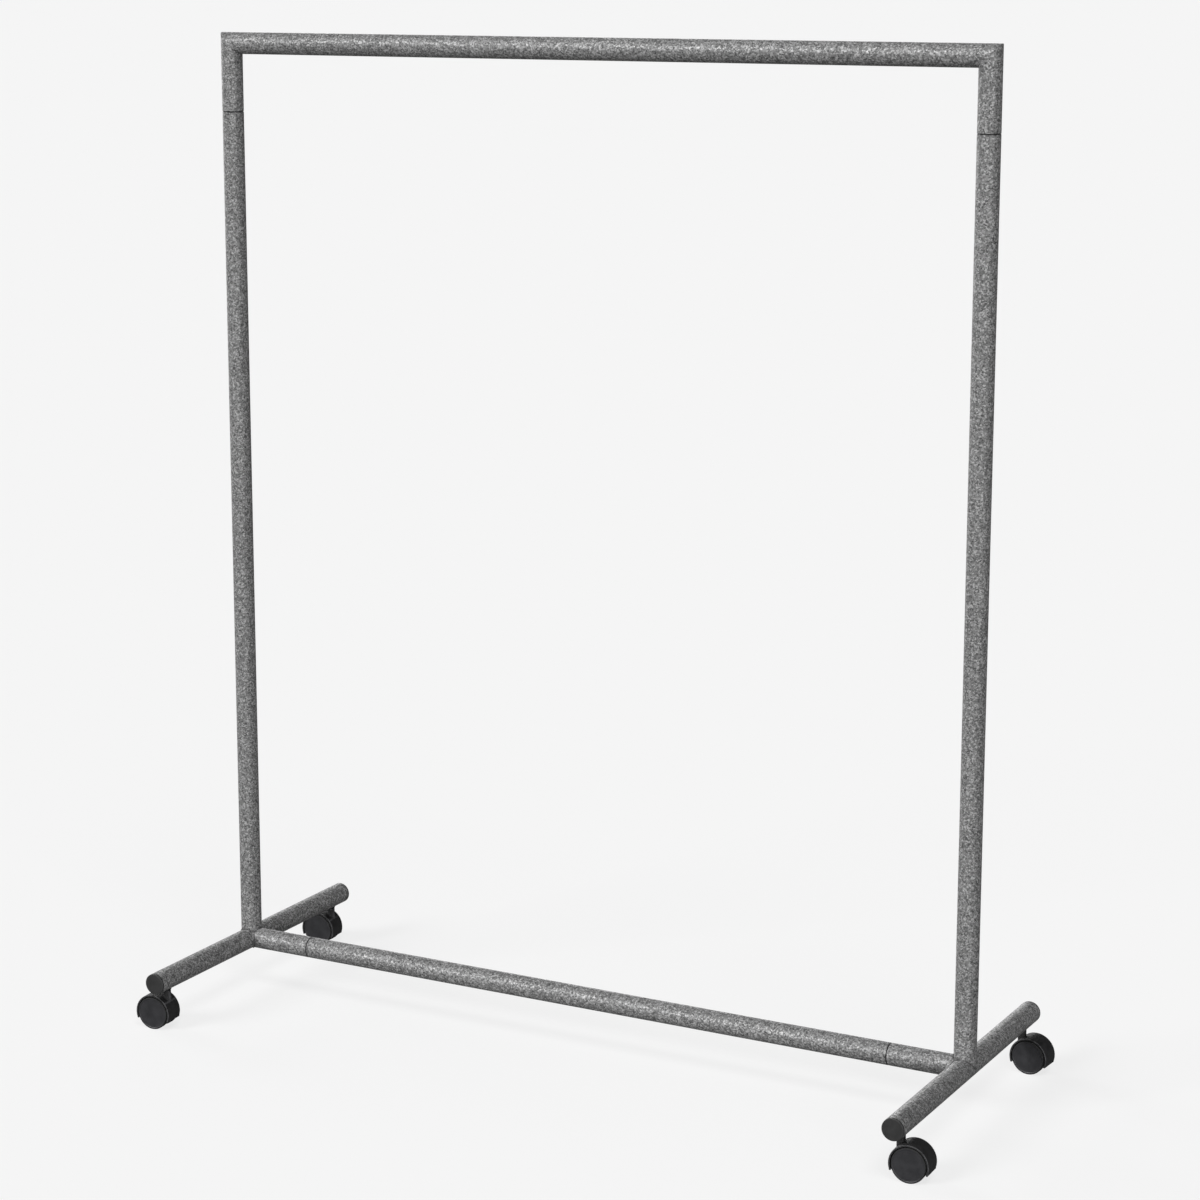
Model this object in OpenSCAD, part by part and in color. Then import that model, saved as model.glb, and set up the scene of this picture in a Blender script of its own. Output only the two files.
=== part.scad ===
// Mobile partition frame: a knock-down rectangle of round steel tube on two
// cross feet, each foot standing on a pair of hooded twin-wheel swivel castors.
//
// Frame: +X along the width, -Y is the front, +Z up. The origin lies on the
// floor under the middle of the frame. Units are millimetres.

/* [Frame] */
// Distance between the axes of the two uprights
post_spacing = 1198; // [700:1:2000]
// Distance between the axes of the bottom rail and the top rail
rail_spacing = 1392; // [600:1:2200]
// Length of each foot tube, without its end caps
foot_len = 515; // [300:1:900]
// Outside diameter of every frame tube
tube_d = 32; // [26:0.1:50]
// Wall thickness of every frame tube
tube_wall = 1.5; // [1:0.1:2.5]

/* [Knock-down joints] */
// Axis of the top rail down to the joint in each upright
top_joint_drop = 101; // [80:1:200]
// Axis of each upright to the joint in the bottom rail
rail_joint_inset = 112; // [80:1:200]
// Hairline left between the two tubes of a joint
joint_gap = 0.5; // [0.2:0.1:1]
// Length of the spigot that joins two tubes
spigot_len = 96; // [60:1:130]
// Wall thickness of the spigot
spigot_wall = 2; // [1.5:0.1:3]
// Spigot to tube clearance, on the radius
spigot_clear = 0.1; // [0.05:0.05:0.3]
// Thread diameter of the locking screw
screw_d = 6; // [4:0.5:8]
// Middle of the joint to the locking screw
screw_inset = 26; // [12:1:30]

/* [End caps] */
// Thickness of the cap's head
cap_head = 2.5; // [1.5:0.1:4]
// Depth of the cap's plug inside the tube
cap_plug = 15; // [8:0.5:16]

/* [Castor seat] */
// Open end of the foot tube to the axis of the castor stem
stem_inset = 29; // [26:0.5:60]
// Outside diameter of the socket in the foot tube
socket_d = 14; // [13:0.1:17]
// Diameter of the castor's plug-in stem
stem_d = 11; // [8:0.1:12]
// Length of the castor's plug-in stem
stem_len = 22; // [18:0.5:24]
// Stem to socket clearance, on the radius
stem_clear = 0.05; // [0.03:0.01:0.1]

/* [Castor] */
// Diameter of each wheel
wheel_d = 50; // [40:0.1:60]
// Width over both wheels
wheel_pair_w = 33.5; // [30:0.1:42]
// Clear space between the inner faces of the two wheel rims
wheel_space = 15.6; // [15:0.1:18]
// Horizontal distance from the stem axis to the wheel axis
trail = 16.6; // [14:0.1:20]
// Radial gap between the tread and the inside of the hood
hood_gap = 1.4; // [1:0.1:2.5]
// Thickness of the hood
hood_wall = 2.4; // [1.8:0.1:3]
// Angle by which each end of the hood reaches below the wheel axis
hood_drop = 20; // [0:1:24]
// Top of the hood to the underside of the foot tube
neck_h = 8.2; // [6:0.1:12]
// Thickness of the web between the wheels
web_t = 5; // [4:0.1:6]
// Outside diameter of the swivel boss
boss_d = 12.4; // [12.3:0.1:14.2]
// Diameter of the swivel pivot, below the stem's collar
pivot_d = 8; // [6.5:0.1:9.6]
// Diameter of the wheel axle
axle_d = 6; // [5:0.1:7.2]
// Outside diameter of the wheel hub
hub_d = 12; // [10:0.1:14.4]
// Running clearance of the pivot and the axle, on the radius
run_clear = 0.05; // [0.03:0.01:0.1]
// Gap between parts that turn past each other
side_gap = 0.4; // [0.3:0.05:0.6]
// Number of ribs inside each wheel
wheel_ribs = 8; // [4:1:12]

/* [Hidden] */
$fn = 96;

// Signs that pick one side of the frame, one end of a foot, one wheel of a castor
LEFT = -1;
RIGHT = 1;
FRONT = -1;
REAR = 1;
OUT = 1;
IN = -1;

// Heading of each castor as it is parked: 0 trails to the right, 180 to the left
front_left_heading = 183;
front_right_heading = 2;
rear_left_heading = 184;
rear_right_heading = -3.5;

tube_r = tube_d / 2;
bore_r = tube_r - tube_wall;
wheel_r = wheel_d / 2;
hood_in_r = wheel_r + hood_gap;
hood_r = hood_in_r + hood_wall;
mount_z = wheel_r + hood_r + neck_h;
foot_z = mount_z + tube_r;
top_z = foot_z + rail_spacing;
post_x = post_spacing / 2;
stem_y = foot_len / 2 - stem_inset;
top_joint_z = top_z - top_joint_drop;
rail_joint_x = post_x - rail_joint_inset;
cutter = 3 * tube_d;
over = 1;

screw_hole_clear = 0.3;
screw_head_d = 1.75 * screw_d;
screw_head_h = 0.55 * screw_d;
screw_tip = 1.5;
screw_hex = 0.6 * screw_d;

cap_play = 0.6;
cap_rib_h = 1.6;
cap_rib_pitch = 4.5;

socket_tail = 2;
ring_h = 2;
ring_depth = 1.2;
ring_inset = 4;
ring_split = 40;
stem_lead = 1;

collar_h = 2;
boss_tail = 2;
bore_rise = 4;
snap_depth = 0.6;
snap_h = 1.6;

hood_inset = 0.3;
lip_d = 3.2;
tread_chamfer = 0.8;
rim_t = 3;
face_t = 2;
face_dish = 0.5;
rib_t = 1.2;
rib_inset = 1;
axle_inset = 3.3;

steel_grey = [0.52, 0.52, 0.53];
zinc = [0.72, 0.73, 0.75];
black = [0.1, 0.1, 0.11];
blackened_steel = [0.16, 0.16, 0.17];

// ------------------------------------------------------------------- helpers

// Puts right-hand geometry at the right upright, or its mirror image at the left
module at_upright(side) {
    if (side == RIGHT) {
        translate([post_x, 0, 0]) children();
    } else {
        mirror([1, 0, 0]) translate([post_x, 0, 0]) children();
    }
}

// Block that fills everything beyond a plane through the Y axis, whose normal
// leans by this angle from +Z towards +X
module beyond(lean) {
    rotate([0, lean, 0])
        translate([-cutter, -cutter / 2, 0])
            cube([2 * cutter, cutter, cutter]);
}

// Tube along +Z, standing on the origin
module tube(length) {
    difference() {
        cylinder(r = tube_r, h = length);
        translate([0, 0, -over]) cylinder(r = bore_r, h = length + 2 * over);
    }
}

// Solid as big as a foot tube, used to cope the tubes welded onto it
module foot_body() {
    translate([0, cutter / 2, 0]) rotate([90, 0, 0]) cylinder(r = tube_r, h = cutter);
}

// Hole through the rear wall of a tube for the locking screw
module screw_hole(radius) {
    rotate([-90, 0, 0]) cylinder(r = radius, h = tube_r + over);
}

// --------------------------------------------------------------- frame tubes

// Foot tube along Y, with a hole in its underside for each castor socket
module foot_tube(side) {
    color(steel_grey)
    translate([side * post_x, 0, foot_z])
        difference() {
            translate([0, foot_len / 2, 0]) rotate([90, 0, 0]) tube(foot_len);
            for (end = [FRONT, REAR]) {
                translate([0, end * stem_y, -tube_r - over])
                    cylinder(d = socket_d, h = tube_r + over);
            }
        }
}

// Upright, coped onto the foot and mitred against the rail stub
module upright(side) {
    length = top_joint_z - joint_gap / 2 - foot_z;
    color(steel_grey)
    at_upright(side)
        difference() {
            translate([0, 0, foot_z]) tube(length);
            translate([0, 0, foot_z]) foot_body();
            translate([0, 0, foot_z]) beyond(225);
            translate([0, 0, top_joint_z - screw_inset])
                screw_hole(screw_d / 2 + screw_hole_clear);
        }
}

// Fixed end of the bottom rail, coped onto the foot and mitred under the upright
module rail_stub(side) {
    length = rail_joint_inset - joint_gap / 2;
    color(steel_grey)
    at_upright(side)
        translate([0, 0, foot_z])
            difference() {
                rotate([0, -90, 0]) tube(length);
                foot_body();
                beyond(45);
            }
}

// Removable part of the bottom rail
module bottom_rail() {
    length = 2 * rail_joint_x - joint_gap;
    color(steel_grey)
    translate([0, 0, foot_z])
        difference() {
            translate([-length / 2, 0, 0]) rotate([0, 90, 0]) tube(length);
            for (side = [LEFT, RIGHT]) {
                translate([side * (rail_joint_x - screw_inset), 0, 0])
                    screw_hole(screw_d / 2 + screw_hole_clear);
            }
        }
}

// Top rail, mitred at both ends
module top_rail() {
    length = post_spacing + tube_d;
    color(steel_grey)
    translate([0, 0, top_z])
        difference() {
            translate([-length / 2, 0, 0]) rotate([0, 90, 0]) tube(length);
            for (side = [LEFT, RIGHT]) {
                at_upright(side) beyond(135);
            }
        }
}

// Short leg that turns down from the end of the top rail
module top_corner(side) {
    bottom = top_joint_z + joint_gap / 2;
    color(steel_grey)
    at_upright(side)
        difference() {
            translate([0, 0, bottom]) tube(top_z + tube_r - bottom);
            translate([0, 0, top_z]) beyond(-45);
        }
}

// ---------------------------------------------------------- knock-down joints

// Sleeve that slides into both tubes of a joint, tapped for the locking screw
// on its +Z half or its -Z half
module spigot(screw_side) {
    radius = bore_r - spigot_clear;
    color(zinc)
    difference() {
        translate([0, 0, -spigot_len / 2]) cylinder(r = radius, h = spigot_len);
        translate([0, 0, -spigot_len / 2 - over])
            cylinder(r = radius - spigot_wall, h = spigot_len + 2 * over);
        translate([0, 0, screw_side * screw_inset]) screw_hole(screw_d / 2);
    }
}

// Spigot between an upright and the leg of the top rail
module top_spigot(side) {
    at_upright(side) translate([0, 0, top_joint_z]) spigot(-1);
}

// Spigot between a rail stub and the bottom rail
module bottom_spigot(side) {
    at_upright(side)
        translate([-rail_joint_inset, 0, foot_z])
            rotate([0, -90, 0]) spigot(1);
}

// Button-head screw pointing to -Y, its head seated on the rear of the tube
module screw() {
    shank = tube_wall + spigot_clear + spigot_wall + screw_tip;
    hex_r = screw_hex / 2;
    rotate([-90, 0, 0])
        difference() {
            union() {
                translate([0, 0, tube_r - shank]) cylinder(d = screw_d, h = shank + over);
                translate([0, 0, tube_r]) cylinder(d = screw_head_d, h = screw_head_h);
            }
            translate([0, 0, tube_r + screw_head_h / 2])
                linear_extrude(screw_head_h)
                    polygon([for (i = [0:5]) [hex_r * cos(60 * i), hex_r * sin(60 * i)]]);
        }
}

// The four locking screws, one at each joint
module joint_screws() {
    color(zinc)
    for (side = [LEFT, RIGHT]) {
        translate([side * post_x, 0, top_joint_z - screw_inset]) screw();
        translate([side * (rail_joint_x - screw_inset), 0, foot_z]) screw();
    }
}

// ------------------------------------------------------------------- end caps

// Flat-headed plug in the open end of a foot tube, held by rings round its plug
module end_cap(end, side) {
    color(black)
    translate([side * post_x, end * foot_len / 2, foot_z])
        rotate([-90 * end, 0, 0]) {
            cylinder(r = tube_r, h = cap_head);
            translate([0, 0, -cap_plug]) cylinder(r = bore_r - cap_play, h = cap_plug + over);
            for (z = [cap_rib_h + cap_rib_pitch : cap_rib_pitch : cap_plug]) {
                translate([0, 0, -z]) cylinder(r = bore_r, h = cap_rib_h);
            }
        }
}

// -------------------------------------------------------------- castor seats

// Plain bushes pressed into the undersides of the foot tubes
module castor_sockets() {
    color(zinc)
    for (side = [LEFT, RIGHT], end = [FRONT, REAR]) {
        translate([side * post_x, end * stem_y, mount_z])
            difference() {
                cylinder(d = socket_d, h = stem_len + socket_tail);
                translate([0, 0, -over])
                    cylinder(d = stem_d + 2 * stem_clear, h = stem_len + socket_tail + 2 * over);
            }
    }
}

// Split rings in the grooves of the stems, which hold the castors in the sockets
module stem_grip_rings() {
    color(zinc)
    for (side = [LEFT, RIGHT], end = [FRONT, REAR]) {
        translate([side * post_x, end * stem_y, mount_z + stem_len - ring_inset])
            rotate_extrude(angle = 360 - ring_split)
                translate([stem_d / 2 - ring_depth, 0])
                    square([ring_depth + stem_clear, ring_h]);
    }
}

// Castor stem: plug-in shank, collar under the tube, and the pivot below it
module stem(end, side) {
    pivot_len = mount_z - collar_h - wheel_r - bore_rise - side_gap;
    snap_z = mount_z - collar_h - pivot_len / 2;
    ring_z = mount_z + stem_len - ring_inset;
    color(blackened_steel)
    translate([side * post_x, end * stem_y, 0])
        rotate_extrude()
            polygon([
                [0, mount_z - collar_h - pivot_len],
                [pivot_d / 2, mount_z - collar_h - pivot_len],
                [pivot_d / 2, snap_z - snap_h / 2 - side_gap],
                [pivot_d / 2 - snap_depth, snap_z - snap_h / 2 - side_gap],
                [pivot_d / 2 - snap_depth, snap_z + snap_h / 2 + side_gap],
                [pivot_d / 2, snap_z + snap_h / 2 + side_gap],
                [pivot_d / 2, mount_z - collar_h],
                [boss_d / 2, mount_z - collar_h],
                [boss_d / 2, mount_z],
                [stem_d / 2, mount_z],
                [stem_d / 2, ring_z],
                [stem_d / 2 - ring_depth, ring_z],
                [stem_d / 2 - ring_depth, ring_z + ring_h],
                [stem_d / 2, ring_z + ring_h],
                [stem_d / 2, mount_z + stem_len - stem_lead],
                [stem_d / 2 - stem_lead, mount_z + stem_len],
                [0, mount_z + stem_len]
            ]);
}

// -------------------------------------------------------------------- castors

// Parked heading of one castor
function heading(end, side) =
    end == FRONT
        ? (side == LEFT ? front_left_heading : front_right_heading)
        : (side == LEFT ? rear_left_heading : rear_right_heading);

// Puts a castor drawn with its stem on the Z axis, trailing to +X, in its place
module at_castor(end, side) {
    translate([side * post_x, end * stem_y, 0])
        rotate([0, 0, heading(end, side)]) children();
}

// Turns geometry drawn about Z so that it lies about the wheel axis
module about_axle() {
    translate([trail, 0, wheel_r]) rotate([90, 0, 0]) children();
}

// Hollow of the swivel boss, narrowed by the bead that snaps into the pivot
module pivot_bore() {
    bottom = wheel_r + bore_rise;
    top = mount_z - collar_h;
    snap_z = (top + bottom + side_gap) / 2;
    bore = pivot_d / 2 + run_clear;
    bead = pivot_d / 2 - snap_depth + side_gap;
    rotate_extrude()
        polygon([
            [0, bottom], [bore, bottom],
            [bore, snap_z - snap_h / 2], [bead, snap_z - snap_h / 2],
            [bead, snap_z + snap_h / 2], [bore, snap_z + snap_h / 2],
            [bore, top + over], [0, top + over]
        ]);
}

// Castor body: hood over both wheels, web between them, and the swivel boss
module hood(end, side) {
    sweep = 180 + 2 * hood_drop;
    hood_w = wheel_pair_w - 2 * hood_inset;
    boss_z = wheel_r + boss_tail;
    color(black)
    at_castor(end, side)
        difference() {
            union() {
                about_axle() {
                    rotate_extrude(angle = sweep, start = -hood_drop)
                        translate([hood_in_r, -hood_w / 2]) square([hood_wall, hood_w]);
                    rotate_extrude(angle = sweep, start = -hood_drop)
                        translate([0, -web_t / 2]) square([hood_in_r + over, web_t]);
                    translate([0, 0, -web_t / 2]) cylinder(d = hub_d, h = web_t);
                    for (a = [-hood_drop, 180 + hood_drop]) {
                        rotate([0, 0, a])
                            translate([hood_in_r + hood_wall / 2, 0, -hood_w / 2])
                                cylinder(d = lip_d, h = hood_w);
                    }
                }
                translate([0, 0, boss_z])
                    cylinder(d = boss_d, h = mount_z - collar_h - side_gap - boss_z);
            }
            pivot_bore();
            about_axle()
                translate([0, 0, -web_t / 2 - over]) cylinder(d = axle_d, h = web_t + 2 * over);
        }
}

// Axle pin, pressed through the web
module axle(end, side) {
    length = wheel_pair_w - 2 * axle_inset;
    color(zinc)
    at_castor(end, side)
        about_axle()
            translate([0, 0, -length / 2]) cylinder(d = axle_d, h = length);
}

// One wheel: dished outer face, rim, ribs, and a hub with a blind bore
module wheel(end, side, face) {
    outer = wheel_pair_w / 2;
    inner = wheel_space / 2;
    hub_r = hub_d / 2;
    rim_r = wheel_r - rim_t;
    bore = axle_d / 2 + run_clear;
    bore_end = outer - axle_inset + side_gap;
    hub_end = web_t / 2 + side_gap;
    color(black)
    at_castor(end, side)
        about_axle()
            mirror([0, 0, face * end * side > 0 ? 1 : 0]) {
                rotate_extrude()
                    polygon([
                        [0, bore_end], [bore, bore_end],
                        [bore, hub_end], [hub_r, hub_end],
                        [hub_r, outer - face_t], [rim_r, outer - face_t],
                        [rim_r, inner], [wheel_r - tread_chamfer, inner],
                        [wheel_r, inner + tread_chamfer],
                        [wheel_r, outer - tread_chamfer],
                        [wheel_r - tread_chamfer, outer],
                        [rim_r + face_dish, outer], [rim_r, outer - face_dish],
                        [0, outer - face_dish]
                    ]);
                for (i = [0 : wheel_ribs - 1]) {
                    rotate([0, 0, i * 360 / wheel_ribs])
                        translate([hub_r - over / 2, -rib_t / 2, inner + rib_inset])
                            cube([rim_r - hub_r + over, rib_t,
                                  outer - face_t - inner - rib_inset + over / 2]);
                }
            }
}

// -------------------------------------------------------------------- assembly

foot_tube(LEFT);  // left_foot_tube
foot_tube(RIGHT);  // right_foot_tube
upright(LEFT);  // left_upright
upright(RIGHT);  // right_upright
rail_stub(LEFT);  // left_rail_stub
rail_stub(RIGHT);  // right_rail_stub
bottom_rail();
top_rail();
top_corner(LEFT);  // top_left_corner
top_corner(RIGHT);  // top_right_corner
top_spigot(LEFT);  // top_left_spigot
top_spigot(RIGHT);  // top_right_spigot
bottom_spigot(LEFT);  // bottom_left_spigot
bottom_spigot(RIGHT);  // bottom_right_spigot
joint_screws();
castor_sockets();
stem_grip_rings();
end_cap(FRONT, LEFT);  // front_left_end_cap
end_cap(FRONT, RIGHT);  // front_right_end_cap
end_cap(REAR, LEFT);  // rear_left_end_cap
end_cap(REAR, RIGHT);  // rear_right_end_cap
stem(FRONT, LEFT);  // front_left_stem
stem(FRONT, RIGHT);  // front_right_stem
stem(REAR, LEFT);  // rear_left_stem
stem(REAR, RIGHT);  // rear_right_stem
hood(FRONT, LEFT);  // front_left_hood
hood(FRONT, RIGHT);  // front_right_hood
hood(REAR, LEFT);  // rear_left_hood
hood(REAR, RIGHT);  // rear_right_hood
axle(FRONT, LEFT);  // front_left_axle
axle(FRONT, RIGHT);  // front_right_axle
axle(REAR, LEFT);  // rear_left_axle
axle(REAR, RIGHT);  // rear_right_axle
wheel(FRONT, LEFT, OUT);  // front_left_wheel_out
wheel(FRONT, LEFT, IN);  // front_left_wheel_in
wheel(FRONT, RIGHT, OUT);  // front_right_wheel_out
wheel(FRONT, RIGHT, IN);  // front_right_wheel_in
wheel(REAR, LEFT, OUT);  // rear_left_wheel_out
wheel(REAR, LEFT, IN);  // rear_left_wheel_in
wheel(REAR, RIGHT, OUT);  // rear_right_wheel_out
wheel(REAR, RIGHT, IN);  // rear_right_wheel_in
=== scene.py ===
# Mobile partition frame: grey speckled powder coat on round steel tube, four black
# hooded castors. The panel that such a frame carries is not part of it.

import math

import bmesh
import bpy
from mathutils import Matrix, Vector


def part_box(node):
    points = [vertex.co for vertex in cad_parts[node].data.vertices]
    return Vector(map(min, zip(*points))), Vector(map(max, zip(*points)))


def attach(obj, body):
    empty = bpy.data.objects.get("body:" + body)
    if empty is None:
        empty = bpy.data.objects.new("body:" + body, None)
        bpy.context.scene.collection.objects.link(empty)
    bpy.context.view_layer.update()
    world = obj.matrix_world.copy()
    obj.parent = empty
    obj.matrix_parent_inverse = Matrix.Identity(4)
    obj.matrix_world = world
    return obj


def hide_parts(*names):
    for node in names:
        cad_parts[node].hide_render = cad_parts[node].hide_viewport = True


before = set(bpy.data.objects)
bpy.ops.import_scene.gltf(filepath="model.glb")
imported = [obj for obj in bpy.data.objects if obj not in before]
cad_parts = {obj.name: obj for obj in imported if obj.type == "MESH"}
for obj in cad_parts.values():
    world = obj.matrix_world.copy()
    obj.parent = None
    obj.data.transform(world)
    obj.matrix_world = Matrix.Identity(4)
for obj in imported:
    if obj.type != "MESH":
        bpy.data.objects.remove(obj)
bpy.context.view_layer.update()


# ----------------------------------------------------------------- frame tubes
# Round welded steel tube, sawn square where two lengths plug together, mitred at
# the top corners, coped over the feet, and sprayed with a speckled powder coat.

def feed(node, **inputs):
    """Sets a node's inputs, or links those given as an output. An underscore is a space."""
    for name, value in inputs.items():
        socket = node.inputs[name.replace("_", " ")]
        if isinstance(value, bpy.types.NodeSocket):
            node.id_data.links.new(value, socket)
        else:
            socket.default_value = value


def add_node(nodes, kind, output, **inputs):
    """Adds a shader node, feeds it, and returns the named output."""
    node = nodes.new(kind)
    feed(node, **inputs)
    return node.outputs[output]


def mix(nodes, factor, first, second, data_type="FLOAT"):
    """Blends two values, or with data_type RGBA two colours."""
    node = nodes.new("ShaderNodeMix")
    node.data_type = data_type
    feed(node, Factor=factor, A=first, B=second)
    return node.outputs["Result"]


def multiply(nodes, first, second):
    """Multiplies the values of two outputs."""
    node = nodes.new("ShaderNodeMath")
    node.operation = "MULTIPLY"
    for socket, value in zip(node.inputs, (first, second)):
        node.id_data.links.new(value, socket)
    return node.outputs["Value"]


def ramp(nodes, value, stops):
    """Turns a value into a grey, by stops given as (value, brightness)."""
    node = nodes.new("ShaderNodeValToRGB")
    feed(node, Fac=value)
    while len(node.color_ramp.elements) < len(stops):
        node.color_ramp.elements.new(0.5)
    for element, (position, grey) in zip(node.color_ramp.elements, stops):
        element.position = position
        element.color = (grey, grey, grey, 1)
    return node.outputs["Color"]


def attribute(nodes, name):
    """What a mesh attribute says at each point."""
    node = nodes.new("ShaderNodeAttribute")
    node.attribute_name = name
    return node.outputs["Fac"]


def new_material(name):
    """An empty node material with its shader, and the coordinates its patterns use."""
    material = bpy.data.materials.new(name)
    material.use_nodes = True
    nodes = material.node_tree.nodes
    place = nodes.new("ShaderNodeTexCoord").outputs["Object"]
    return material, nodes, nodes["Principled BSDF"], place


coat, nodes, shader, place = new_material("speckled_powder_coat")
flake_size = 0.0019
cloud_size = 0.0036
orange_peel_size = 0.011
end_scuff_and_shade_size = 0.004

# One random grey for each flake, softened by the finer clouding of the coat
flakes = add_node(nodes, "ShaderNodeTexVoronoi", "Color", Vector=place, Scale=1 / flake_size)
flake_grey = add_node(nodes, "ShaderNodeSeparateColor", "Red", Color=flakes)
clouds = add_node(nodes, "ShaderNodeTexNoise", "Fac", Vector=place, Scale=1 / cloud_size,
                  Detail=5.0, Roughness=0.72)
speckle = mix(nodes, 0.62, flake_grey, clouds)
coat_colour = ramp(nodes, speckle, [(0.26, 0.040), (0.42, 0.130), (0.57, 0.21), (0.74, 0.44)])
coat_roughness = ramp(nodes, speckle, [(0.3, 0.62), (0.7, 0.42)])

# Sawn ends are painted near-black, unevenly: partly steel where the coat is scuffed through, partly
# painted shade for the dark line in each joint
end_scuff_and_shade_noise = add_node(nodes, "ShaderNodeTexNoise", "Fac", Vector=place, Scale=1 / end_scuff_and_shade_size,
                      Detail=3.0)
end_scuff_and_shade_reach = ramp(nodes, end_scuff_and_shade_noise, [(0.30, 0.45), (0.55, 1)])
end_scuff_and_shade = multiply(nodes, attribute(nodes, "wear_and_painted_light"), end_scuff_and_shade_reach)
end_scuff_and_shade_colour = mix(nodes, end_scuff_and_shade, coat_colour, (0.012, 0.012, 0.013, 1), "RGBA")

# Grit of the flakes over the slow waves that the coat dries with
peel = add_node(nodes, "ShaderNodeTexNoise", "Fac", Vector=place, Scale=1 / orange_peel_size,
                Detail=1.0)
peel_bump = add_node(nodes, "ShaderNodeBump", "Normal", Height=peel, Strength=0.35,
                     Distance=0.0004)
grit_bump = add_node(nodes, "ShaderNodeBump", "Normal", Height=speckle, Strength=0.6,
                     Distance=0.0003, Normal=peel_bump)
feed(shader, Base_Color=end_scuff_and_shade_colour, Roughness=coat_roughness, Metallic=0.1, Normal=grit_bump)

top_low, top_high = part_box("top_rail")
foot_low, foot_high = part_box("right_foot_tube")
bottom_low, bottom_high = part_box("bottom_rail")
upright_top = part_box("right_upright")[1].z
leg_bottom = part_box("top_right_corner")[0].z
stub_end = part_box("right_rail_stub")[0].x

tube_r = (bottom_high.z - bottom_low.z) / 2
tube_wall = 0.0015
sawn_edge = 0.0008          # radius left on a sawn end by deburring
post_x = (foot_low.x + foot_high.x) / 2
foot_z = (foot_low.z + foot_high.z) / 2
top_z = top_high.z - tube_r


def tube_skin(start, end):
    """Outer skin of a tube from one point of its axis to another, open at both ends."""
    run = Vector(end) - Vector(start)
    middle = (Vector(end) + Vector(start)) / 2
    skin = bmesh.new()
    bmesh.ops.create_cone(skin, cap_ends=False, segments=96, radius1=tube_r, radius2=tube_r,
                          depth=run.length)
    turn = run.to_track_quat("Z", "Y").to_matrix().to_4x4()
    bmesh.ops.transform(skin, matrix=Matrix.Translation(middle) @ turn, verts=skin.verts)
    return skin


def saw(skin, point, outward):
    """Cuts a skin along a plane and drops the side that outward points to."""
    bmesh.ops.bisect_plane(skin, geom=skin.verts[:] + skin.edges[:] + skin.faces[:], dist=1e-7,
                           plane_co=point, plane_no=outward, clear_outer=True)


def mark_wear_and_painted_light(mesh, test, amount=1.0):
    """Notes which faces the materials paint darker or lighter, and how much: wear, painted shade
    and painted highlight.
    """
    wear_and_painted_light_layer = mesh.loops.layers.float.new("wear_and_painted_light")
    for face in mesh.faces:
        if test(face):
            for corner in face.loops:
                corner[wear_and_painted_light_layer] = amount


def give_wall(skin, square_ends):
    """Thickens a skin inwards, then rounds the edges of its square-sawn ends and marks them for
    dark paint: scuffed coat and painted shade.
    """
    bmesh.ops.solidify(skin, geom=skin.faces[:], thickness=tube_wall)

    def at_end(verts, reach):
        return any(all(abs((v.co - Vector(point)).dot(Vector(direction))) < reach for v in verts)
                   for point, direction in square_ends)

    rims = [edge for edge in skin.edges
            if at_end(edge.verts, 1e-6) and edge.calc_face_angle(0) > math.radians(60)]
    outer = 0.95 * max((edge.calc_length() for edge in rims), default=0)
    rims = [edge for edge in rims if edge.calc_length() > outer]
    bmesh.ops.bevel(skin, geom=rims, affect="EDGES", offset=sawn_edge, segments=2,
                    profile=0.5, material=-1)
    mark_wear_and_painted_light(skin, lambda face: at_end(face.verts, sawn_edge * 1.1))


def make_piece(mesh, name, material, body, nodes=(), crease=40):
    """Turns a bmesh into a finished piece that rides on a body and stands for its nodes."""
    data = bpy.data.meshes.new(name)
    mesh.to_mesh(data)
    mesh.free()
    data.polygons.foreach_set("use_smooth", [True] * len(data.polygons))
    data.set_sharp_from_angle(angle=math.radians(crease))
    data.materials.append(material)
    piece = bpy.data.objects.new(name, data)
    bpy.context.scene.collection.objects.link(piece)
    flats = piece.modifiers.new("Flat faces stay flat", "WEIGHTED_NORMAL")
    flats.keep_sharp = True
    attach(piece, body)
    if nodes:
        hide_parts(*nodes)
    return piece


for side, sign in (("left", -1), ("right", 1)):
    x = sign * post_x
    node_point = Vector((x, 0, foot_z))
    corner_point = Vector((x, 0, top_z))

    # Upright: two planes cope it over the foot, a third mitres it with the rail stub
    skin = tube_skin((x, 0, foot_z), (x, 0, upright_top))
    saw(skin, node_point, (0, 1, -1))
    saw(skin, node_point, (0, -1, -1))
    saw(skin, node_point, (-sign, 0, -1))
    give_wall(skin, [((x, 0, upright_top), (0, 0, 1))])
    make_piece(skin, side + "_upright_tube", coat, "frame", [side + "_upright"])

    # Rail stub: coped against the side of the foot, mitred under the upright
    skin = tube_skin((x, 0, foot_z), (sign * stub_end, 0, foot_z))
    saw(skin, node_point, (sign, 1, 0))
    saw(skin, node_point, (sign, -1, 0))
    saw(skin, node_point, (sign, 0, 1))
    give_wall(skin, [((sign * stub_end, 0, foot_z), (1, 0, 0))])
    make_piece(skin, side + "_rail_stub_tube", coat, "frame", [side + "_rail_stub"])

    # Leg that turns down from the top rail
    skin = tube_skin((x, 0, leg_bottom), (x, 0, top_z + tube_r))
    saw(skin, corner_point, (-sign, 0, 1))
    give_wall(skin, [((x, 0, leg_bottom), (0, 0, 1))])
    make_piece(skin, "top_" + side + "_leg", coat, "frame", ["top_" + side + "_corner"])

# Top rail, mitred at both ends
skin = tube_skin((-post_x - tube_r, 0, top_z), (post_x + tube_r, 0, top_z))
saw(skin, (post_x, 0, top_z), (1, 0, -1))
saw(skin, (-post_x, 0, top_z), (-1, 0, -1))
give_wall(skin, [])
make_piece(skin, "top_rail_tube", coat, "frame", ["top_rail"])

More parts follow.
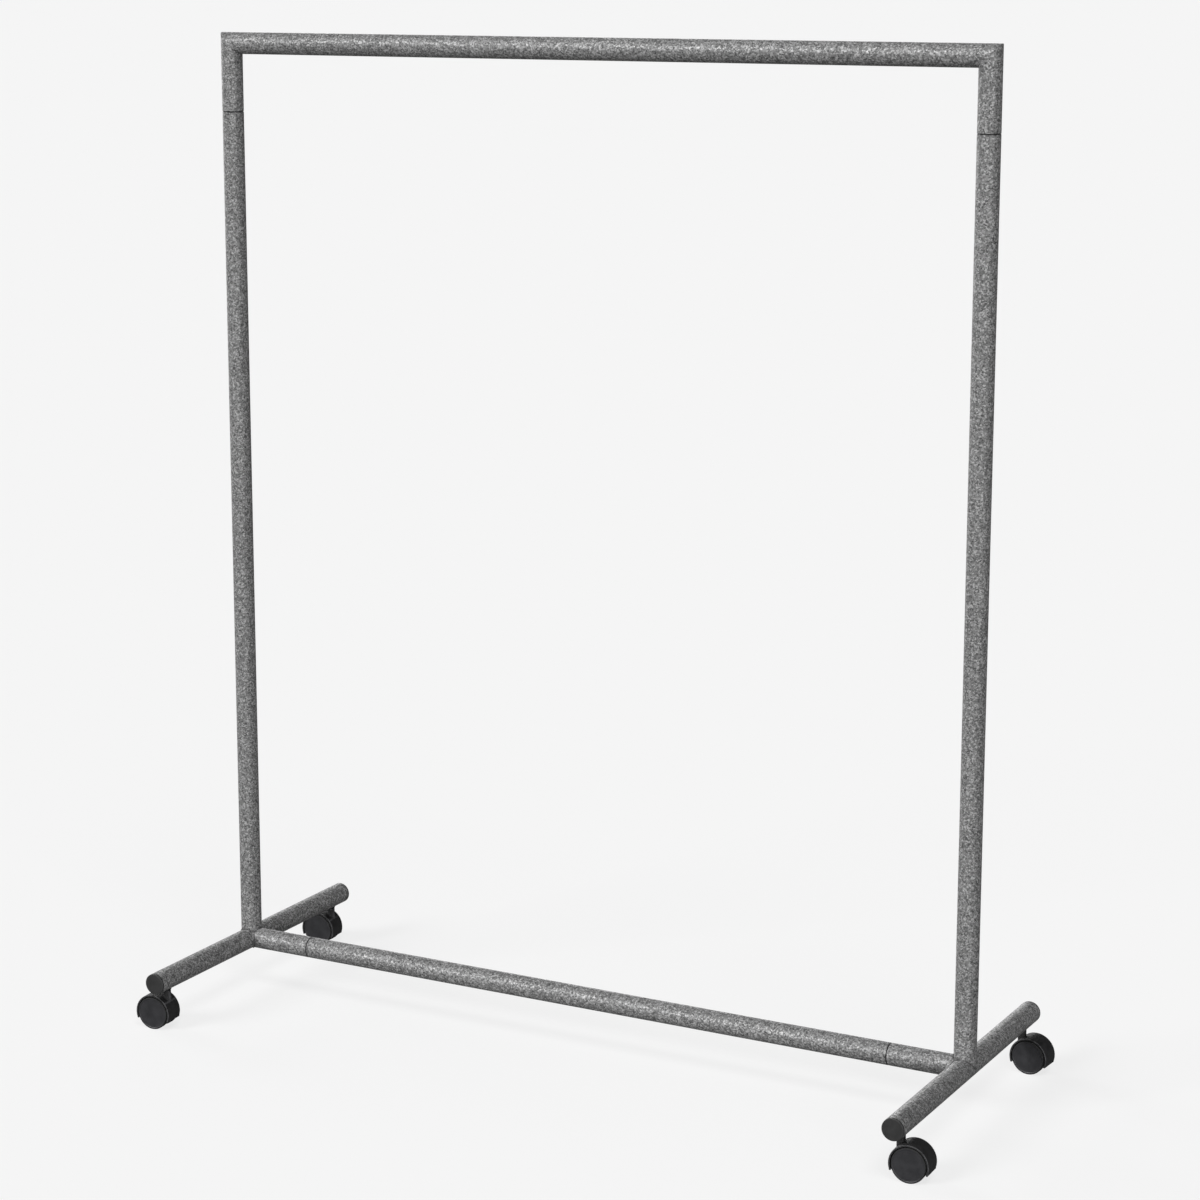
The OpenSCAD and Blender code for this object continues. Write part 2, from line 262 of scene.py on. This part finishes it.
# Bottom rail, sawn square at both ends
skin = tube_skin((bottom_low.x, 0, foot_z), (bottom_high.x, 0, foot_z))
give_wall(skin, [((bottom_low.x, 0, foot_z), (1, 0, 0)), ((bottom_high.x, 0, foot_z), (1, 0, 0))])
make_piece(skin, "bottom_rail_tube", coat, "frame", ["bottom_rail"])


# ----------------------------------------------------------------- feet
# One length of the same tube lies across under each upright. Two holes drilled up
# into its underside take the pressed-in sockets of the castors.

socket_r = 0.007


def combine(mesh, tool, operation):
    """Joins a second closed mesh to the first (UNION), or cuts it away (DIFFERENCE)."""
    parts = []
    for part in (mesh, tool):
        data = bpy.data.meshes.new("part")
        part.to_mesh(data)
        part.free()
        parts.append(bpy.data.objects.new("part", data))
        bpy.context.scene.collection.objects.link(parts[-1])
    boolean = parts[0].modifiers.new("Combine", "BOOLEAN")
    boolean.operation = operation
    boolean.solver = "EXACT"
    boolean.object = parts[1]
    bpy.context.view_layer.update()
    result = bmesh.new()
    result.from_object(parts[0], bpy.context.evaluated_depsgraph_get())
    bmesh.ops.remove_doubles(result, verts=result.verts, dist=1e-6)
    for part in parts:
        bpy.data.meshes.remove(part.data)
    return result


for side, sign in (("left", -1), ("right", 1)):
    x = sign * post_x
    skin = tube_skin((x, foot_low.y, foot_z), (x, foot_high.y, foot_z))
    give_wall(skin, [((x, foot_low.y, foot_z), (0, 1, 0)), ((x, foot_high.y, foot_z), (0, 1, 0))])
    for end in ("front_", "rear_"):
        stem_low, stem_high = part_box(end + side + "_stem")
        drill = bmesh.new()
        bmesh.ops.create_cone(drill, cap_ends=True, segments=48, radius1=socket_r,
                              radius2=socket_r, depth=tube_r)
        drilled = Vector((x, (stem_low.y + stem_high.y) / 2, foot_z - tube_r))
        bmesh.ops.translate(drill, vec=drilled, verts=drill.verts)
        skin = combine(skin, drill, "DIFFERENCE")
    make_piece(skin, side + "_foot", coat, "frame", [side + "_foot_tube"])


# ----------------------------------------------------------------- weld beads
# A thin bead with low ripples runs round the foot of each upright and round the end of each rail
# stub. Its coat is painted darker than on the tubes, as painted shade in the crevices along the
# weld.

bead_r = 0.0013
bead_ripple = 0.00022
ripples = 46
bead_painted_shade = 0.55            # how dark the bead's painted shade is


def saddle_bead(start, sweep, lift):
    """Bead round a tube that stands along Z, raised by lift(point) to follow a saddle."""
    bead = bmesh.new()
    bmesh.ops.create_circle(bead, segments=10, radius=bead_r)
    upright = Matrix.Rotation(math.radians(90), 4, "X")
    bmesh.ops.transform(bead, matrix=Matrix.Translation((tube_r, 0, 0)) @ upright, verts=bead.verts)
    bmesh.ops.rotate(bead, matrix=Matrix.Rotation(math.radians(start), 3, "Z"), verts=bead.verts)
    closed = sweep == 360
    bmesh.ops.spin(bead, geom=bead.verts[:] + bead.edges[:], axis=(0, 0, 1), cent=(0, 0, 0),
                   angle=math.radians(sweep), steps=round(sweep / 2), use_merge=closed)
    if not closed:
        bmesh.ops.holes_fill(bead, edges=[e for e in bead.edges if e.is_boundary])
    bmesh.ops.recalc_face_normals(bead, faces=bead.faces)
    for vert in bead.verts:
        angle = math.atan2(vert.co.y, vert.co.x)
        vert.co += vert.normal * bead_ripple * math.sin(angle * ripples)
        vert.co.z += lift(vert.co)
    return bead


for side, sign in (("left", -1), ("right", 1)):
    node_place = Matrix.Translation((sign * post_x, 0, foot_z))
    facing = Matrix.Rotation(math.radians(90 - 90 * sign), 4, "Z")

    bead = saddle_bead(0, 360, lambda point: max(abs(point.y), -point.x))
    bmesh.ops.transform(bead, matrix=node_place @ facing, verts=bead.verts)
    mark_wear_and_painted_light(bead, lambda face: True, bead_painted_shade)
    make_piece(bead, side + "_upright_weld", coat, "frame", crease=70)

    # Drawn standing up, with the underside of the rail at +X, then laid down
    bead = saddle_bead(-135, 270, lambda point: abs(point.y))
    lay = Matrix(((0, 0, -1, 0), (0, 1, 0, 0), (-1, 0, 0, 0), (0, 0, 0, 1)))
    bmesh.ops.transform(bead, matrix=node_place @ facing @ lay, verts=bead.verts)
    bmesh.ops.recalc_face_normals(bead, faces=bead.faces)
    mark_wear_and_painted_light(bead, lambda face: True, bead_painted_shade)
    make_piece(bead, side + "_rail_weld", coat, "frame", crease=70)


# ----------------------------------------------------------------- end caps
# A black moulded plug closes each end of the feet. Its head is a plain disc as
# wide as the tube, and ribs round its stub grip the inside of the tube.

def add_group(name, inputs, outputs):
    """A shader node group, the values given to it, and the node that takes its results."""
    group = bpy.data.node_groups.new(name, "ShaderNodeTree")
    for socket, kind in inputs:
        group.interface.new_socket(socket, in_out="INPUT", socket_type="NodeSocket" + kind)
    for socket, kind in outputs:
        group.interface.new_socket(socket, in_out="OUTPUT", socket_type="NodeSocket" + kind)
    given = group.nodes.new("NodeGroupInput").outputs
    return group, given, group.nodes.new("NodeGroupOutput")


# Fine surface grain with broad, faint patches of handling, for plastic and plated steel
# Marked faces take a lighter edge colour: partly wear, partly painted highlight on rounded edges
grain_group, given, result = add_group(
    "fine_grain",
    [("Vector", "Vector"), ("Grain scale", "Float"), ("Patch scale", "Float"),
     ("Dark", "Color"), ("Light", "Color"), ("Smooth", "Float"), ("Rough", "Float"),
     ("Depth", "Float"), ("Worn", "Float"), ("Worn colour", "Color")],
    [("Colour", "Color"), ("Roughness", "Float"), ("Normal", "Vector")])
nodes = grain_group.nodes
grain = add_node(nodes, "ShaderNodeTexNoise", "Fac", Vector=given["Vector"],
                 Scale=given["Grain scale"], Detail=3.0)
patches = add_node(nodes, "ShaderNodeTexNoise", "Fac", Vector=given["Vector"],
                   Scale=given["Patch scale"], Detail=4.0, Roughness=0.6)
contrast = ramp(nodes, mix(nodes, 0.6, grain, patches), [(0.36, 0), (0.64, 1)])
tint = mix(nodes, contrast, given["Dark"], given["Light"], "RGBA")
lighter_edges = multiply(nodes, given["Worn"], contrast)
dents = add_node(nodes, "ShaderNodeBump", "Normal", Height=grain, Strength=0.5,
                 Distance=given["Depth"])
feed(result, Colour=mix(nodes, lighter_edges, tint, given["Worn colour"], "RGBA"),
     Roughness=mix(nodes, contrast, given["Smooth"], given["Rough"]), Normal=dents)


def grained(name, grain_size, patch_size, dark, light, edge, smooth, rough, depth, metallic=0.0):
    """A material with the fine grain at its own size, colours, lighter edges for wear and painted
    highlight, and gloss.
    """
    material, nodes, shader, place = new_material(name)
    effect = nodes.new("ShaderNodeGroup")
    effect.node_tree = grain_group
    feed(effect, Vector=place, Grain_scale=1 / grain_size, Patch_scale=1 / patch_size,
         Dark=(*dark, 1), Light=(*light, 1), Worn_colour=(*edge, 1), Worn=attribute(nodes, "wear_and_painted_light"),
         Smooth=smooth, Rough=rough, Depth=depth)
    feed(shader, Base_Color=effect.outputs["Colour"], Roughness=effect.outputs["Roughness"],
         Normal=effect.outputs["Normal"], Metallic=metallic)
    return material


def outline(points):
    """Closed outline in the XZ plane from (x, z, corner radius), as one face."""
    face = bmesh.new()
    corners = [face.verts.new((x, 0, z)) for x, z, radius in points]
    face.faces.new(corners)
    for corner, (x, z, radius) in zip(corners, points):
        if radius:
            bmesh.ops.bevel(face, geom=[corner], affect="VERTICES", offset=radius, segments=3,
                            profile=0.5, material=-1)
    return face


def turned(points, steps=64, start=0, sweep=360):
    """Turns an outline about the Z axis, all the way round or through part of a turn."""
    solid = outline(points)
    bmesh.ops.rotate(solid, matrix=Matrix.Rotation(math.radians(start), 3, "Z"), verts=solid.verts)
    on_axis = [edge for edge in solid.edges if all(v.co.xy.length < 1e-9 for v in edge.verts)]
    bmesh.ops.delete(solid, geom=solid.faces[:], context="FACES_ONLY")
    bmesh.ops.delete(solid, geom=on_axis, context="EDGES_FACES")
    closed = sweep == 360
    bmesh.ops.spin(solid, geom=solid.verts[:] + solid.edges[:], axis=(0, 0, 1), cent=(0, 0, 0),
                   angle=math.radians(sweep), steps=steps, use_merge=closed)
    bmesh.ops.remove_doubles(solid, verts=solid.verts, dist=1e-6)
    bmesh.ops.holes_fill(solid, edges=[edge for edge in solid.edges if edge.is_boundary])
    bmesh.ops.recalc_face_normals(solid, faces=solid.faces)
    return solid


def on_rounded_edge(face):
    """Whether a face is one of the narrow strips that round an edge."""
    return any(math.radians(25) < edge.calc_face_angle(0) < math.radians(50)
               for edge in face.edges)


cap_plastic = grained(
    "cap_plastic", grain_size=0.0007, patch_size=0.012, dark=(0.016, 0.016, 0.016),
    light=(0.026, 0.026, 0.026), edge=(0.04, 0.04, 0.04), smooth=0.42, rough=0.55,
    depth=0.00004)
head = foot_low.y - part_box("front_right_end_cap")[0].y
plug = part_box("front_right_end_cap")[1].y - foot_low.y
bore_r = tube_r - tube_wall
core_r = bore_r - 0.0006
rib_depths = (0.0045, 0.009, 0.0135)
cap_outline = [(0, head, 0), (tube_r, head, 0.0009), (tube_r, 0, 0.0002), (core_r, 0, 0)]
for rib in rib_depths:
    cap_outline += [(core_r, 0.0012 - rib, 0), (bore_r, 0.0008 - rib, 0.0002),
                    (bore_r, -0.0002 - rib, 0.0002), (core_r, -0.0006 - rib, 0)]
cap_outline += [(core_r, -plug, 0.0008), (0, -plug, 0)]

for end, end_sign in (("front", -1), ("rear", 1)):
    for side, sign in (("left", -1), ("right", 1)):
        cap = turned(cap_outline, steps=72)
        mouth = Matrix.Translation((sign * post_x, end_sign * foot_high.y, foot_z))
        facing = Matrix.Rotation(math.radians(-90 * end_sign), 4, "X")
        bmesh.ops.transform(cap, matrix=mouth @ facing, verts=cap.verts)
        mark_wear_and_painted_light(cap, on_rounded_edge)
        name = end + "_" + side + "_end_cap"
        make_piece(cap, name + "_plug", cap_plastic, "frame", [name])


# ----------------------------------------------------------------- locking screws
# A zinc-plated button-head screw with a hexagon socket locks each plug-in joint from
# the rear. The sleeves inside the joints are drawn steel, painted near-black: partly its own dull
# colour, partly painted shade for the joint gaps; the split rings are plated.

zinc = grained(
    "zinc_plate", grain_size=0.0009, patch_size=0.006, dark=(0.42, 0.43, 0.45),
    light=(0.60, 0.61, 0.62), edge=(0.70, 0.70, 0.70), smooth=0.28, rough=0.42, depth=0.00002,
    metallic=1.0)
drawn_steel_and_gap_shade = grained(
    "drawn_steel_and_gap_shade", grain_size=0.0012, patch_size=0.02, dark=(0.030, 0.029, 0.028),
    light=(0.075, 0.073, 0.070), edge=(0.10, 0.10, 0.10), smooth=0.4, rough=0.55, depth=0.00002,
    metallic=0.7)
screw_head_r = 0.00525
screw_head_h = 0.0033
screw_r = 0.003
screw_len = 0.0051
socket_hex_r = 0.0018
seam_to_screw = 0.02575

below_seam = upright_top - seam_to_screw
beside_seam = bottom_high.x - seam_to_screw

screws = bmesh.new()
for sign in (-1, 1):
    for x, z in ((sign * post_x, below_seam), (sign * beside_seam, foot_z)):
        screw = turned([(0, screw_head_h, 0), (screw_head_r * 0.6, screw_head_h, 0.0012),
                        (screw_head_r, 0.0014, 0.0006), (screw_head_r, 0, 0.0002),
                        (screw_r, 0, 0), (screw_r, -screw_len, 0.0005), (0, -screw_len, 0)], 40)
        key = bmesh.new()
        bmesh.ops.create_cone(key, cap_ends=True, segments=6, radius1=socket_hex_r,
                              radius2=socket_hex_r, depth=screw_head_h)
        bmesh.ops.translate(key, vec=(0, 0, screw_head_h), verts=key.verts)
        screw = combine(screw, key, "DIFFERENCE")
        seat = Matrix.Translation((x, tube_r, z)) @ Matrix.Rotation(math.radians(-90), 4, "X")
        bmesh.ops.transform(screw, matrix=seat, verts=screw.verts)
        single = bpy.data.meshes.new("screw")
        screw.to_mesh(single)
        screw.free()
        screws.from_mesh(single)
mark_wear_and_painted_light(screws, on_rounded_edge)
make_piece(screws, "locking_screws", zinc, "frame", ["joint_screws"])

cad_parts["stem_grip_rings"].data.materials[0] = zinc
for joint in ("top_left", "top_right", "bottom_left", "bottom_right"):
    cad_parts[joint + "_spigot"].data.materials[0] = drawn_steel_and_gap_shade


# ----------------------------------------------------------------- castors
# Black nylon furniture castors. A blackened steel stem plugs into the foot, and the
# hood turns on its lower end. Hood, web and swivel boss are one moulding.

hood_plastic = grained(
    "hood_plastic", grain_size=0.0006, patch_size=0.009, dark=(0.006, 0.006, 0.006),
    light=(0.020, 0.020, 0.021), edge=(0.10, 0.10, 0.105), smooth=0.5, rough=0.66,
    depth=0.00003)
black_steel = grained(
    "black_oxide_steel", grain_size=0.0005, patch_size=0.004, dark=(0.012, 0.012, 0.013),
    light=(0.028, 0.028, 0.029), edge=(0.05, 0.05, 0.05), smooth=0.32, rough=0.5, depth=0.00001,
    metallic=0.8)

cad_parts["castor_sockets"].data.materials[0] = black_steel

stem_low, stem_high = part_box("front_right_stem")
axle_low, axle_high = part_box("front_right_axle")
wheel_low, wheel_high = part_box("front_right_wheel_out")
stem_place = (stem_low + stem_high) / 2
axle_place = (axle_low + axle_high) / 2
wheel_r = (wheel_high.z - wheel_low.z) / 2
trail = (axle_place - stem_place).xy.length
boss_r = (stem_high.x - stem_low.x) / 2

hood_gap = 0.0014
hood_wall = 0.0024
hood_in_r = wheel_r + hood_gap
hood_r = hood_in_r + hood_wall
hood_w = 0.0329
hood_drop = 20              # degrees that the hood reaches down past the axle's height
web_t = 0.005
web_in_r = 0.003
web_out_r = hood_in_r + 0.001
eye_r = 0.006               # thickening of the web round the axle
eye_y = web_t / 2 + 0.0002
lip_r = 0.0016              # bead along each lower edge of the hood
lip_y = hood_w / 2 - 0.0003
axle_r = 0.003
boss_low = wheel_r + 0.002
boss_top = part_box("front_right_hood")[1].z
pivot_low = wheel_r + 0.004
pivot_r = 0.00405

about_axle = Matrix.Translation((trail, 0, wheel_r)) @ Matrix.Rotation(math.radians(90), 4, "X")
span = 180 + 2 * hood_drop

# Each part has its own steps and start, so that no two facets lie in one plane
castor_body = turned([(hood_in_r, -hood_w / 2, 0.0003), (hood_r, -hood_w / 2, 0.0009),
                      (hood_r, hood_w / 2, 0.0009), (hood_in_r, hood_w / 2, 0.0003)],
                     steps=74, start=-hood_drop, sweep=span)
web = turned([(web_in_r, -web_t / 2, 0), (web_out_r, -web_t / 2, 0),
              (web_out_r, web_t / 2, 0), (web_in_r, web_t / 2, 0)],
             steps=73, start=1 - hood_drop, sweep=span - 2)
castor_body = combine(castor_body, web, "UNION")
eye = turned([(0, -eye_y, 0), (eye_r, -eye_y, 0.0003), (eye_r, eye_y, 0.0003), (0, eye_y, 0)])
castor_body = combine(castor_body, eye, "UNION")
for angle in (0.4 - hood_drop, 179.6 + hood_drop):
    lip = turned([(0, -lip_y, 0), (lip_r, -lip_y, 0.0006), (lip_r, lip_y, 0.0006), (0, lip_y, 0)],
                 steps=26, start=3)
    at_lip = (Matrix.Rotation(math.radians(angle), 4, "Z")
              @ Matrix.Translation(((hood_in_r + hood_r) / 2, 0, 0)))
    bmesh.ops.transform(lip, matrix=at_lip, verts=lip.verts)
    castor_body = combine(castor_body, lip, "UNION")
pin_hole = bmesh.new()
bmesh.ops.create_cone(pin_hole, cap_ends=True, segments=32, radius1=axle_r, radius2=axle_r,
                      depth=2 * web_t)
castor_body = combine(castor_body, pin_hole, "DIFFERENCE")
bmesh.ops.transform(castor_body, matrix=about_axle, verts=castor_body.verts)
boss = turned([(0, boss_low, 0), (boss_r, boss_low, 0.0005), (boss_r, boss_top, 0.0008),
               (0, boss_top, 0)], steps=50, start=2)
castor_body = combine(castor_body, boss, "UNION")
pivot_hole = turned([(0, pivot_low, 0), (pivot_r, pivot_low, 0),
                     (pivot_r, boss_top + 0.001, 0), (0, boss_top + 0.001, 0)],
                    steps=46, start=1)
castor_body = combine(castor_body, pivot_hole, "DIFFERENCE")
# The hood's rounded edges take the lighter edge colour: partly wear, partly painted highlight
mark_wear_and_painted_light(castor_body, on_rounded_edge)


# ----------------------------------------------------------------- wheels
# Each wheel is a moulded nylon cup: a closed disc with a faint step near its edge, a
# rim, ribs, and a hub that snaps on the axle pin. A softer tread covers the rim, painted
# near-black: partly its own colour, partly painted shade of the gap under the hood.

wheel_plastic = grained(
    "wheel_plastic", grain_size=0.0008, patch_size=0.011, dark=(0.016, 0.016, 0.018),
    light=(0.027, 0.027, 0.030), edge=(0.09, 0.09, 0.095), smooth=0.38, rough=0.52,
    depth=0.00003)
tread_and_gap_shade = grained(
    "tread_and_gap_shade", grain_size=0.0005, patch_size=0.007, dark=(0.004, 0.004, 0.004),
    light=(0.012, 0.012, 0.012), edge=(0.02, 0.02, 0.02), smooth=0.5, rough=0.7, depth=0.00005)
face_y = 0.0335 / 2         # distances along the axle, from the middle of the castor
face_t = 0.002
rim_y = 0.0078
rim_in_r = wheel_r - 0.003
tread_edge = 0.0009
hub_r = 0.006
hub_y = web_t / 2 + 0.0004
hub_in_r = axle_r + 0.00005
blind_end = face_y - 0.0029
dish = 0.0005
rib_t = 0.0012
wheel_ribs = 8

wheel = turned([(0, blind_end, 0), (hub_in_r, blind_end, 0), (hub_in_r, hub_y, 0.0002),
                (hub_r, hub_y, 0.0003), (hub_r, face_y - face_t, 0.0004),
                (rim_in_r, face_y - face_t, 0.0006), (rim_in_r, rim_y, 0.0002),
                (wheel_r, rim_y, 0.0009), (wheel_r, face_y, 0.0011),
                (rim_in_r + 0.0006, face_y, 0.0003), (rim_in_r, face_y - dish, 0.0003),
                (0, face_y - dish, 0)], steps=96)
rib_run = rim_in_r - hub_r + 0.001
rib_depth = face_y - face_t - rim_y - 0.0005
for rib in range(wheel_ribs):
    blade = bmesh.new()
    bmesh.ops.create_cube(blade, size=1)
    shape = (Matrix.Rotation(math.radians(360 / wheel_ribs * rib), 4, "Z")
             @ Matrix.Translation(((rim_in_r + hub_r) / 2, 0, rim_y + 0.001 + rib_depth / 2))
             @ Matrix.Diagonal((rib_run, rib_t, rib_depth, 1)))
    bmesh.ops.transform(blade, matrix=shape, verts=blade.verts)
    wheel = combine(wheel, blade, "UNION")
bmesh.ops.transform(wheel, matrix=about_axle, verts=wheel.verts)
# Faces at the tread take its near-black paint, which partly stands for shade in the gap under the
# hood
for face in wheel.faces:
    spot = face.calc_center_median() - Vector((trail, 0, wheel_r))
    if spot.xz.length > wheel_r - tread_edge:
        face.material_index = 1
# The disc's rounded edges take the lighter edge colour: partly wear, partly a painted highlight
# ring at the rim
mark_wear_and_painted_light(wheel, lambda face: face.material_index == 0 and on_rounded_edge(face))

for end, end_sign in (("front", -1), ("rear", 1)):
    for side in ("left", "right"):
        name = end + "_" + side
        stem_low, stem_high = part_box(name + "_stem")
        axle_low, axle_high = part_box(name + "_axle")
        stem_place = (stem_low + stem_high) / 2
        way = ((axle_low + axle_high) / 2 - stem_place).xy
        heading = math.atan2(way.y, way.x)
        parked = (Matrix.Translation((stem_place.x, stem_place.y, 0))
                  @ Matrix.Rotation(heading, 4, "Z"))
        body = castor_body.copy()
        bmesh.ops.transform(body, matrix=parked, verts=body.verts)
        make_piece(body, name + "_castor_hood", hood_plastic, name + "_castor", [name + "_hood"],
                   crease=30)
        # The wheel is drawn with its disc towards -Y, and its twin faces the other way
        for face, face_sign in (("out", end_sign), ("in", -end_sign)):
            turn = 0 if math.cos(heading) * face_sign < 0 else math.pi
            swap = (Matrix.Translation((trail, 0, 0)) @ Matrix.Rotation(turn, 4, "Z")
                    @ Matrix.Translation((-trail, 0, 0)))
            copy = wheel.copy()
            bmesh.ops.transform(copy, matrix=parked @ swap, verts=copy.verts)
            node = name + "_wheel_" + face
            piece = make_piece(copy, name + "_castor_wheel_" + face, wheel_plastic, node, [node],
                               crease=30)
            piece.data.materials.append(tread_and_gap_shade)
        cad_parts[name + "_stem"].data.materials[0] = black_steel
        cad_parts[name + "_axle"].data.materials[0] = zinc
castor_body.free()
wheel.free()


# ----------------------------------------------------------------- studio
# A pale floor that runs to the horizon, and broad soft lamps in front and behind.
# The floor and the sky look brighter to the camera than they shine on the frame.

floor_r = 150
floor = bmesh.new()
bmesh.ops.create_circle(floor, cap_ends=True, segments=64, radius=floor_r)
floor_data = bpy.data.meshes.new("floor")
floor.to_mesh(floor_data)
floor.free()
floor_object = bpy.data.objects.new("floor", floor_data)
bpy.context.scene.collection.objects.link(floor_object)

paint, nodes, shader, _ = new_material("pale_floor")
seen = nodes.new("ShaderNodeLightPath").outputs["Is Camera Ray"]
shade = mix(nodes, seen, (0.22, 0.22, 0.22, 1), (0.16, 0.16, 0.16, 1), "RGBA")
feed(shader, Base_Color=shade, Roughness=0.9, Specular_IOR_Level=0,
     Emission_Color=(1, 1, 1, 1), Emission_Strength=mix(nodes, seen, 0, 0.76))
floor_data.materials.append(paint)

# Soft lamps: bearing they stand at and height above the horizon in degrees, softness
# in degrees, and strength
for name, bearing, height, softness, power in (
        ("key", -120, 29, 24, 2.6), ("overhead", -45, 60, 20, 1.1), ("fill", -45, 10, 26, 1.4),
        ("left_rim", 165, 12, 25, 1.7), ("back_rim", 120, 12, 25, 0.5)):
    lamp = bpy.data.lights.new(name, "SUN")
    lamp.angle = math.radians(softness)
    lamp.energy = power
    lamp_object = bpy.data.objects.new(name, lamp)
    lamp_object.rotation_euler = (math.radians(90 - height), 0, math.radians(bearing + 90))
    bpy.context.scene.collection.objects.link(lamp_object)

world = bpy.data.worlds.new("studio")
bpy.context.scene.world = world
world.use_nodes = True
nodes = world.node_tree.nodes
seen = nodes.new("ShaderNodeLightPath").outputs["Is Camera Ray"]
feed(nodes["Background"], Color=(1, 1, 1, 1), Strength=mix(nodes, seen, 0.03, 0.90))
bpy.context.scene.view_settings.view_transform = "Standard"

camera_data = bpy.data.cameras.new("camera")
camera_data.sensor_width = 36
camera_data.lens = 92.34
camera_data.shift_x = 0.0553
camera_data.shift_y = -0.0299
camera = bpy.data.objects.new("camera", camera_data)
camera.location = (2.0606, -3.8347, 1.6269)
camera.rotation_euler = [math.radians(angle) for angle in (78.436, 0.193, 29.208)]
bpy.context.scene.collection.objects.link(camera)
bpy.context.scene.camera = camera
